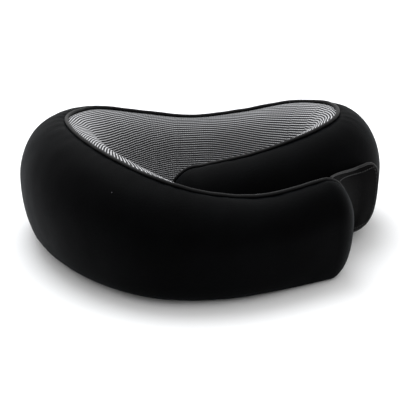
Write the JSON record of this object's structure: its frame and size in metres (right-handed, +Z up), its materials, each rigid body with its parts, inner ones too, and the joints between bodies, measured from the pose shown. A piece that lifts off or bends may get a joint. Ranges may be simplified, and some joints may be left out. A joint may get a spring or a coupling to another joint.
{
  "type": "u shaped neck pillow",
  "caption": "Wrap-around travel neck pillow: a foam ring whose long arm laps in front of the short one, with a mesh inner face, piping and a closure tab.",
  "frame": {"origin": "centre of the pillow's outline in plan, on the flat underside", "axes": "+Z up, -Y towards the front where the arms overlap, +Y towards the nape of the neck, +X to the right in the picture"},
  "size_m": [0.2882, 0.2596, 0.0946],
  "materials": {
    "memory_foam": "soft open-cell foam",
    "cover_fabric": "matte stretch knit",
    "spacer_mesh": "striped spacer mesh",
    "piping": "satin cord cover",
    "loop_pile": "brushed loop pile",
    "hook_tape": "nylon hooks",
    "tab_fabric": "brushed pile",
    "zip_tape": "woven tape",
    "zip_coil": "nylon coil",
    "zip_metal": "black enamel",
    "label_satin": "satin ribbon, blank"
  },
  "bodies": {
    "back": {"foam_core_back": "memory_foam", "outer_cover_back": "cover_fabric", "mesh_panel_back": "spacer_mesh", "piping_back_upper": "piping", "piping_back_lower": "piping", "zip_tape_upper": "zip_tape", "zip_tape_lower": "zip_tape", "zip_coil_upper": "zip_coil", "zip_coil_lower": "zip_coil", "zip_stop_right": "zip_metal", "zip_stop_left": "zip_metal", "care_label": "label_satin"},
    "right_arm": {"foam_core_right": "memory_foam", "outer_cover_right": "cover_fabric", "mesh_panel_right": "spacer_mesh", "piping_right": "piping", "loop_patch": "loop_pile"},
    "left_arm": {"foam_core_left": "memory_foam", "outer_cover_left": "cover_fabric", "mesh_panel_left": "spacer_mesh", "piping_left": "piping"},
    "tab": {"closure_tab": "tab_fabric", "hook_patch": "hook_tape"},
    "slider": {"zip_slider": "zip_metal"},
    "pull": {"zip_pull": "zip_metal"}
  },
  "joints": [
    {"name": "left_arm_flex", "type": "hinge", "parent": "back", "child": "left_arm", "pos_m": [-0.1439, 0.00814, 0.045], "axis": [0, 0, -1], "range_deg": [0, 35], "stiffness_Nm_per_rad": 0.8},
    {"name": "right_arm_flex", "type": "hinge", "parent": "back", "child": "right_arm", "pos_m": [0.14434, 0.033, 0.045], "axis": [0, 0, 1], "range_deg": [0, 17.5], "stiffness_Nm_per_rad": 0.8},
    {"name": "tab_peel", "type": "hinge", "parent": "left_arm", "child": "tab", "pos_m": [0.10146, -0.05934, 0.039], "axis": [0, 0, -1], "range_deg": [0, 95]},
    {"name": "zip_travel", "type": "hinge", "parent": "back", "child": "slider", "pos_m": [-0.008, -0.239, 0.022], "axis": [0, 0, 1], "range_deg": [0, 16]},
    {"name": "pull_swing", "type": "hinge", "parent": "slider", "child": "pull", "pos_m": [0.04333, 0.12621, 0.022], "axis": [0, 0, 1], "range_deg": [-168, 0]}
  ],
  "couplings": [
    {"joint": "right_arm_flex", "follows": "left_arm_flex", "ratio": 0.5}
  ]
}
